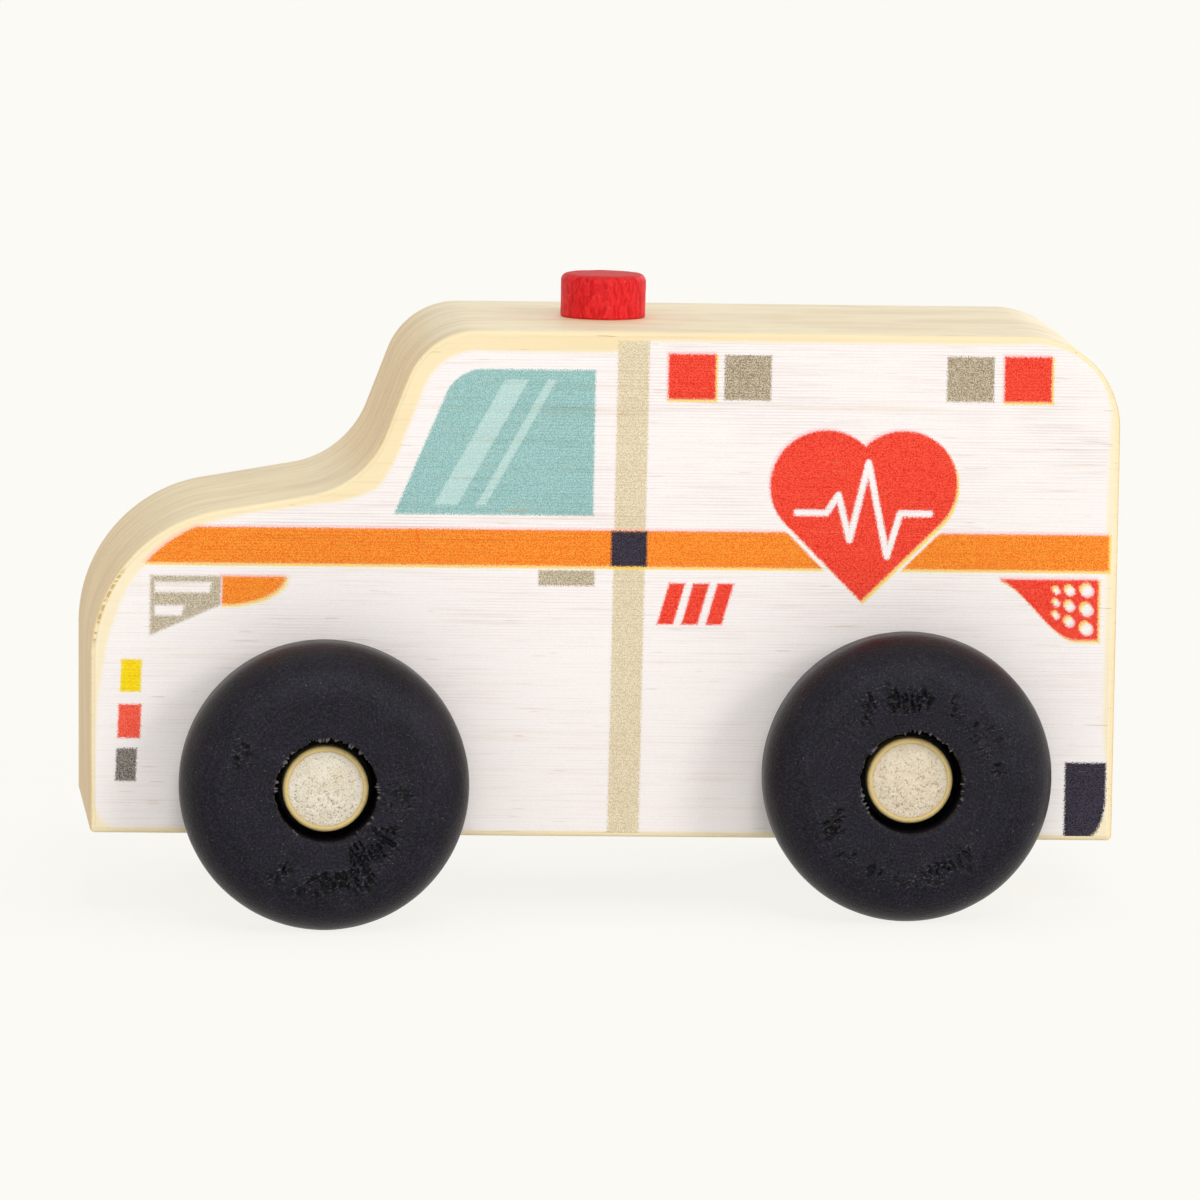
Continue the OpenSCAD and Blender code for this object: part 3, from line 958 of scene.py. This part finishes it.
class SidePrint(SurfaceFinish):
    """A printed side of the plank: each ink is laid over what is there, as a mist of two colours with a
    scattered edge."""

    def __init__(self):
        super().__init__("printed_plank", Roughness=0.5, Specular_IOR_Level=0.2)
        self.along, self.across, self.up = block_places(self)
        wood, self.fibres, self.flecks = plank(self, self.along, self.across, self.up, PRINT_CONTRAST)
        place = self.arrow(self.along, self.across * 3.0, self.up)
        self.mist = self.noise(place, scale=8.4, detail=1.0, rough=0.6).step(0.36, 0.64)
        self.scatter = self.noise(place, scale=7.0, detail=1.0) * INK_SCATTER - INK_SCATTER / 2
        bleached = self.along.step(104.0, 112.0) * 0.5 + self.along.step(9.0, 3.0) * 0.4
        self.colour = self.mix(wood, WOOD_BLEACHED, bleached)

    def lay(self, shape, ink, cover=1.0, edge=INK_EDGE):
        """Covers a shape, given by its distance, with the two colours of an ink."""
        mask = (shape + self.scatter).step(edge, -edge, 0.0, cover)
        self.colour = self.mix(self.colour, self.mix(*ink, self.mist), mask)

    def lay_warm(self, shape, ink):
        """Covers a shape, given by a function, with an ink of two plates that have slipped apart, so that
        yellow shows along two sides and pink along the others."""
        plates = []
        for way in (1, -1):
            moved = shape(self.along - way * PLATE_SLIP[0], self.up - way * PLATE_SLIP[1])
            plates.append((moved + self.scatter - PLATE_SPREAD).step(INK_EDGE, -INK_EDGE))
        yellow, pink = plates
        colour = self.mix(self.colour, INK_BLUSH, pink * 0.4)
        colour = self.mix(colour, INK_FRINGE, yellow * (1 - pink) * 0.9)
        self.colour = self.mix(colour, self.mix(*ink, self.mist), yellow * pink)


def print_cab(side):
    """Pillar, stripe, latch, side window with its glare, handle, and the lights and markers at the nose."""
    along, up = side.along, side.up
    side.lay(in_pillar(along, up), INK_PILLAR, PILLAR_COVER)
    side.lay_warm(in_stripe, INK_ORANGE)
    side.lay(in_box(along, up, *LATCH), INK_NAVY)
    window = in_window(along, up)
    side.lay(window, INK_TEAL)
    for middle, width in GLARES:
        streak = abs(along - (up - GLARE_LEVEL) * GLARE_LEAN - middle) - width / 2
        side.lay(streak.most(window + GLARE_INSET), INK_GLARE, GLARE_COVER)
    side.lay(in_box(along, up, *HANDLE), INK_LAMP)
    side.lay(in_headlight(along, up), INK_LAMP, LAMP_COVER, LAMP_EDGE)
    side.lay_warm(in_turn_lamp, INK_ORANGE)
    for low, high, ink in MARKERS:
        slanted = along - (up - (low[1] + high[1]) / 2) * MARKER_LEAN
        side.lay(in_box(slanted, up, low, high), ink)


def print_rear(side):
    """Squares under the roof, a heart with a clear halo and a pulse line, slanted bars, tail light and
    bumper."""
    along, up = side.along, side.up
    for low, high in RED_SQUARES:
        side.lay_warm(partial(in_box, low=low, high=high), INK_RED)
    for low, high in GREY_SQUARES:
        side.lay(in_box(along, up, low, high), INK_GREY)
    heart = in_heart(along, up)
    side.lay(heart - HEART_HALO, INK_GROUND)
    side.lay_warm(in_heart, INK_RED)
    side.lay(in_pulse(side).most(heart + PULSE_MARGIN), INK_GROUND)
    slanted = along - (up - (BARS_LOW + BARS_HIGH) / 2) * BARS_LEAN
    for low, high in BARS:
        side.lay(in_box(slanted, up, (low, BARS_LOW), (high, BARS_HIGH)), INK_RED)
    side.lay_warm(in_tail_light, INK_RED)
    side.lay(in_bumper(along, up), INK_NAVY)


def print_finish():
    """The white ground, then the inks of cab and rear. Fine passes of the print head, and the wood's own
    lines, streaks, grain, flecks and specks, show through them. The passes and lines thin out towards the
    bottom, partly as painted light that lifts the lower print out of the shade of wheels and floor."""
    side = SidePrint()
    along, across, up = side.along, side.across, side.up
    reach = side.kept("ground_reach")
    side.lay(-reach, INK_GROUND, GROUND_COVER, GROUND_EDGE)
    print_cab(side)
    print_rear(side)
    on_ground = reach.step(-0.1, 0.3)
    lines = side.noise(side.arrow(along * 0.08, across, up * 5.6), detail=2.0, rough=0.65)
    patchy_and_painted_light = side.noise(side.arrow(along * 0.06, across, up * 0.12 + 0.4), detail=3.0).step(0.36, 0.66)
    # Passes and lines thin out towards the bottom: partly patchy print, partly painted light that lifts the
    # lower print out of the shade of wheels and floor
    patchy_and_painted_light = (patchy_and_painted_light * 0.7 + 0.3) * up.step(8.0, 44.0, 0.3, 1.0)
    passes = ((up + lines * 0.3) * (2 * np.pi / PRINT_PASS)).sine().step(0.0, 1.0)
    colour = side.tint(side.colour, PASS_SHADE, passes * patchy_and_painted_light * on_ground * 0.5)
    colour = side.tint(colour, LINE_SHADE, lines.step(0.5, 0.74) * on_ground * (0.15 + patchy_and_painted_light * 0.42))
    streaks = side.noise(side.arrow(along * 0.03, across, up * 0.7), detail=4.0, rough=0.6)
    colour = side.tint(colour, STREAK_SHADE, streaks.step(0.54, 0.8) * on_ground * 0.42)
    grain = side.noise(side.arrow(along * 0.09, across, up * 1.5 + streaks * 2.0), detail=1.0)
    colour = side.mix(colour, GRAIN_SHOWN, grain.step(0.72, 0.8) * 0.3)
    colour = side.mix(colour, FLECK_SHOWN, side.flecks * 0.35)
    specks = side.noise(side.arrow(along * 2.3, across, up * 2.3), detail=1.0)
    colour = side.mix(colour, SPECK, specks.step(0.83, 0.87) * 0.7)
    side.feed("Base Color", colour)
    side.feed("Roughness", lines.step(0.3, 0.8, 0.44, 0.6))
    side.relief(lines * 0.6 + side.fibres * 0.4 + side.mist * 0.15, 0.018)
    return side.material


STAIN_BLACK = dye(4, 4, 7)
STAIN_WORN = dye(47, 43, 57)
# Painted shade of the rim, warmed as a painted reflection of the wooden body
RIM_SHADE_AND_REFLECTION = dye(30, 23, 20)
# Painted shade between raised fibres, and in the torn pits
FIBRE_GAP_SHADE = dye(90, 90, 98)
PIT_SHADE = dye(96, 96, 102)
STAIN_DUST = dye(128, 124, 124)
HUB_SHADE = dye(60, 58, 60)
# Painted glints on fibre tips
FIBRE_GLINT = dye(124, 120, 124)


def wheel_finish():
    """Black stain, worn through by speckles, a weave and sweeps round the turn, and darker and browner at
    the rim, as painted shade and a painted reflection of the wooden body. In torn patches fibres stand up
    across the grain, with painted shade between them and in the pits, and painted glints at their tips and
    on the frayed hub edge."""
    finish = SurfaceFinish("black_stain", Roughness=0.36, Specular_IOR_Level=0.13)
    x, z, climb = finish.parts(finish.kept("turned_place", "Vector"))
    batch = finish.kept("batch")
    reach = (x * x + z * z).root()
    shifted = finish.arrow(x, z, climb + batch)
    blotch = finish.noise(shifted, scale=0.3, detail=3.0)
    speckle = finish.noise(shifted, scale=4.3, detail=2.0, rough=0.75)
    weave = finish.noise(shifted, scale=3.0, detail=3.0, rough=0.7)
    swept = finish.arrow(reach * 3.4 + batch, (x + z * 0.4) / reach * 3.0, z / reach * 3.0)
    sweep = finish.noise(swept, detail=3.0, rough=0.6)
    worn = speckle.step(0.42, 0.64) * 0.6 + weave.step(0.44, 0.68) * 0.26 + sweep.step(0.42, 0.66) * 0.14
    colour = finish.mix(STAIN_BLACK, STAIN_WORN, worn + blotch.step(0.4, 0.7) * 0.1)
    # Darker and browner towards the rim: painted shade, warmed as a painted reflection of the wooden body
    colour = finish.mix(colour, RIM_SHADE_AND_REFLECTION, reach.step(12.8, 15.6) * (0.25 + worn * 0.3))
    ragged = finish.kept("ragged")
    combed = finish.arrow(x * 1.7 + z * 0.8 + batch, z * 4.0 - x * 1.4, climb)
    fibres = finish.noise(combed, detail=4.0, rough=0.7)
    # Painted shade between the raised fibres of the torn patches
    colour = finish.tint(colour, FIBRE_GAP_SHADE, ragged.step(0.1, 0.7) * fibres.step(0.52, 0.4) * 0.9)
    # Painted shade in the torn pits
    colour = finish.tint(colour, PIT_SHADE, finish.kept("torn").step(0.2, 0.75) * 0.9)
    # Painted glints on the fibre tips of the torn patches
    colour = finish.mix(colour, FIBRE_GLINT, ragged.step(0.05, 0.5) * fibres.step(0.57, 0.66) * 0.45)
    dust = finish.noise(shifted, scale=4.8, detail=1.0) + blotch * 0.12 + ragged * 0.03
    colour = finish.mix(colour, STAIN_DUST, dust.step(0.79, 0.84) * 0.5)
    # Painted glints on the frayed fibres of the hub edge
    colour = finish.mix(colour, FIBRE_GLINT, finish.kept("frayed").step(0.3, 0.75) * 0.6)
    in_hub = reach.step(HUB_RADIUS + 0.1, HUB_RADIUS - 0.25)
    in_hub = in_hub * climb.step(WHEEL_WIDTH - 0.1, WHEEL_WIDTH - 0.7)
    colour = finish.tint(colour, HUB_SHADE, in_hub)
    finish.feed("Base Color", colour)
    finish.feed("Roughness", 0.24 + sweep * 0.08 + weave * 0.12)
    finish.relief(weave * 0.7 + sweep * 0.3 + speckle * 0.7 + fibres * ragged * 3.0 + blotch * 0.4, 0.08)
    return finish.material


PEG_PALE = dye(250, 243, 226)
PEG_GOLD = dye(244, 217, 148)
PEG_LINE = dye(206, 170, 114)
PEG_PIT = dye(120, 96, 62)
PEG_MOTTLE = dye(214, 198, 168)
PEG_AGED = dye(250, 244, 236)
PEG_SHOULDER = dye(192, 154, 94)


def peg_finish():
    """Bare wood: golden round the rim, with grain along the peg, and pale on the sawn end, which is
    mottled, pored and specked. A dark line marks the shoulder between the two, and some pegs are more
    aged than others."""
    finish = SurfaceFinish("sawn_peg", Roughness=0.6, Specular_IOR_Level=0.25)
    x, z, climb = finish.parts(finish.kept("turned_place", "Vector"))
    batch = finish.kept("batch")
    reach = (x * x + z * z).root()
    side_grain = finish.noise(finish.arrow(x * 2.6, z * 2.6, climb * 0.12 + batch), detail=3.0)
    mottle = finish.noise(finish.arrow(x, z, climb + batch), scale=0.7, detail=2.0)
    gold = finish.mix(PEG_GOLD, PEG_LINE, side_grain.step(0.5, 0.8) * 0.5)
    end = finish.mix(PEG_PALE, PEG_MOTTLE, mottle.step(0.35, 0.7) * 0.3)
    pores = finish.noise(finish.arrow(x, z, batch), scale=6.6, detail=2.0, rough=0.7)
    end = finish.mix(end, PEG_LINE, pores.step(0.52, 0.66) * 0.6)
    specks = finish.noise(finish.arrow(x, z, batch + 5.0), scale=4.6, detail=2.0, rough=0.75)
    end = finish.mix(end, PEG_PIT, (specks - z * 0.008).step(0.61, 0.68) * 0.65)
    end = finish.mix(end, PEG_PIT, finish.kept("torn").step(0.3, 0.95) * 0.4)
    aged = finish.noise(finish.arrow(batch, 0.0, 0.0), scale=0.13, detail=1.0).step(0.4, 0.6)
    end = finish.tint(end, PEG_AGED, aged)
    on_face = climb.step(HEAD_OUTER - 0.4, HEAD_OUTER - 0.2)
    on_end = reach.step(HEAD_RING + 0.02, HEAD_RING - 0.1) * on_face
    shoulder = (1 - abs(reach - HEAD_RING) / 0.1).most(0.0) * on_face
    colour = finish.mix(finish.mix(gold, end, on_end), PEG_SHOULDER, shoulder * 0.6)
    finish.feed("Base Color", colour)
    finish.feed("Roughness", on_end.step(0.0, 1.0, 0.46, 0.74))
    finish.relief((pores * 0.7 - specks * 0.5) * on_end + side_grain * 0.3, 0.05)
    return finish.material


BEACON_DEEP = dye(206, 16, 22)
BEACON_RED = dye(232, 40, 44)
BEACON_DAB = dye(244, 84, 84)
BEACON_HOLLOW = dye(214, 140, 140)
BEACON_TOP = dye(206, 64, 62)
BEACON_RING = dye(224, 190, 190)


def beacon_finish():
    """Red stain, deeper in upright fibres and in their hollows, with paler dabs. The top is duller, with
    faint rings of growth."""
    finish = SurfaceFinish("red_stain", Roughness=0.5, Specular_IOR_Level=0.15)
    x, y, climb = finish.parts(finish.kept("turned_place", "Vector"))
    reach = (x * x + y * y).root()
    upright = finish.noise(finish.arrow(x * 2.4, y * 2.4, climb * 0.8), detail=3.0, rough=0.6)
    dabs = finish.noise(finish.arrow(x * 1.8, y * 1.8, climb * 1.3 + 9.0), detail=2.0)
    colour = finish.mix(BEACON_DEEP, BEACON_RED, upright.step(0.34, 0.6))
    colour = finish.mix(colour, BEACON_DAB, dabs.step(0.56, 0.8) * 0.45)
    colour = finish.tint(colour, BEACON_HOLLOW, finish.kept("hollow").step(0.5, 0.85) * 0.4)
    top = climb.step(BEACON_HEIGHT - 0.3, BEACON_HEIGHT - 0.1)
    rings = (reach * 1.15 + upright * 1.2).fraction()
    colour = finish.mix(colour, BEACON_TOP, top * 0.75)
    colour = finish.tint(colour, BEACON_RING, top * rings.step(0.4, 0.9) * 0.5)
    finish.feed("Base Color", colour)
    finish.feed("Roughness", top.step(0.0, 1.0, 0.5, 0.62))
    finish.relief(upright * 0.8 + dabs * 0.3, 0.06)
    return finish.material


# Pieces on their bodies
WHEEL_SEED, PEG_SEED, SEED_STEP = 11, 15, 10


def fit(piece, material, body, node=None):
    """Gives a piece its finish and its body and, where there is one, hides the node that it replaces."""
    piece.data.materials.append(material)
    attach(piece, body)
    if node:
        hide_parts(node)


fit(build_block(), block_finish(), "toy_body", "body_block")
side_print = print_finish()
fit(build_print("left_side_print", -1, left_ease), side_print, "toy_body")
fit(build_print("right_side_print", 1, right_ease), side_print, "toy_body")
black_stain = wheel_finish()
sawn_peg = peg_finish()
wheel_joints = {j["child"]: j for j in frame["joints"]}
for number, corner in enumerate(TORN_PATCHES):
    hub = np.array(wheel_joints[f"{corner}_wheel"]["pos_m"]) / MM
    hand = -1 if "left" in corner else 1
    wheel = build_wheel(corner, WHEEL_SEED + SEED_STEP * number, hand, hub[[0, 2]])
    fit(wheel, black_stain, f"{corner}_wheel", f"{corner}_wheel")
    peg = build_peg(corner, PEG_SEED + SEED_STEP * number, hand, hub[[0, 2]])
    fit(peg, sawn_peg, "toy_body", f"{corner}_axle_peg")
fit(build_beacon(), beacon_finish(), "toy_body", "beacon")

# Floor, light and camera
FLOOR_HALF = 6.0
FLOOR_TONE = dye(249, 249, 247)
FLOOR_SEEN = dye(255, 254, 249)
FLOOR_GLOW = 0.85
ROOM_TONE = dye(255, 255, 252)
ROOM_LEVEL = 0.4
# Lamps: name, direction towards the lamp, strength, spread in degrees
LAMPS = [
    ("top_lamp", (0.0, 0.2, 0.98), 0.105, 60),
    ("upper_front_lamp", (0.05, -0.75, 0.65), 0.2, 16),
    ("right_lamp", (0.6, -0.74, 0.3), 0.19, 16),
    ("right_end_lamp", (0.92, -0.2, 0.38), 0.08, 26),
    ("right_low_lamp", (0.97, -0.22, 0.08), 0.07, 26),
    ("left_lamp", (-0.75, -0.62, 0.25), 0.075, 80),
    ("front_lamp", (-0.1, -0.97, 0.2), 0.115, 22),
    ("left_back_lamp", (-0.6, 0.76, 0.25), 0.04, 30),
    ("right_back_lamp", (0.45, 0.86, 0.25), 0.15, 30),
]

floor_mesh = bpy.data.meshes.new("pale_floor")
floor_corners = np.array([(-1, -1, 0), (1, -1, 0), (1, 1, 0), (-1, 1, 0)]) * FLOOR_HALF
floor_mesh.from_pydata(floor_corners.tolist(), [], [(0, 1, 2, 3)])
floor = bpy.data.objects.new("pale_floor", floor_mesh)
bpy.context.scene.collection.objects.link(floor)
floor_material = bpy.data.materials.new("pale_floor")
floor_material.use_nodes = True
floor_finish = Finish(floor_material.node_tree)


def seen_rays(finish):
    """1 for rays from the camera, a reflection or through glass, and 0 for light on the object."""
    path = finish.node("ShaderNodeLightPath").socket.node
    names = ("Is Camera Ray", "Is Glossy Ray", "Is Transmission Ray")
    return reduce(Amount.most, [Amount(finish, path.outputs[name]) for name in names])


floor_finish.tree.nodes.clear()
matte = floor_finish.node("ShaderNodeBsdfDiffuse", None, FLOOR_TONE)
glow = floor_finish.node("ShaderNodeEmission", None, FLOOR_SEEN, 1.0)
both = floor_finish.node("ShaderNodeMixShader", None, seen_rays(floor_finish) * FLOOR_GLOW, matte, glow)
floor_output = floor_finish.tree.nodes.new("ShaderNodeOutputMaterial")
floor_finish.tree.links.new(both.socket, floor_output.inputs["Surface"])
floor_mesh.materials.append(floor_material)

world = bpy.data.worlds.new("pale_room")
world.use_nodes = True
bpy.context.scene.world = world
room = Finish(world.node_tree)
background = world.node_tree.nodes["Background"]
background.inputs["Color"].default_value = ROOM_TONE
level = seen_rays(room) * (1 - ROOM_LEVEL) + ROOM_LEVEL
room.tree.links.new(level.socket, background.inputs["Strength"])

for name, towards, strength, spread in LAMPS:
    lamp = bpy.data.lights.new(name, "SUN")
    lamp.energy = strength * np.pi
    lamp.angle = np.radians(spread)
    holder = bpy.data.objects.new(name, lamp)
    holder.rotation_euler = Vector(towards).to_track_quat("Z", "Y").to_euler()
    bpy.context.scene.collection.objects.link(holder)

CAMERA_PLACE = Vector((-0.102627, -1.391233, 0.189626))
CAMERA_FORWARD = Vector((0.073647, 0.991035, -0.111469))
CAMERA_UP = Vector((0.013134, 0.110799, 0.993756))
CAMERA_LENS = 375.0
CAMERA_SENSOR = 36.0
CAMERA_FAR = 50.0
camera_data = bpy.data.cameras.new("studio_camera")
camera_data.lens = CAMERA_LENS
camera_data.sensor_width = CAMERA_SENSOR
camera_data.clip_end = CAMERA_FAR
camera = bpy.data.objects.new("studio_camera", camera_data)
right = CAMERA_FORWARD.cross(CAMERA_UP).normalized()
turn = Matrix((right, CAMERA_UP, -CAMERA_FORWARD)).transposed()
camera.matrix_world = Matrix.Translation(CAMERA_PLACE) @ turn.to_4x4()
bpy.context.scene.collection.objects.link(camera)
bpy.context.scene.camera = camera
bpy.context.scene.view_settings.view_transform = "Standard"
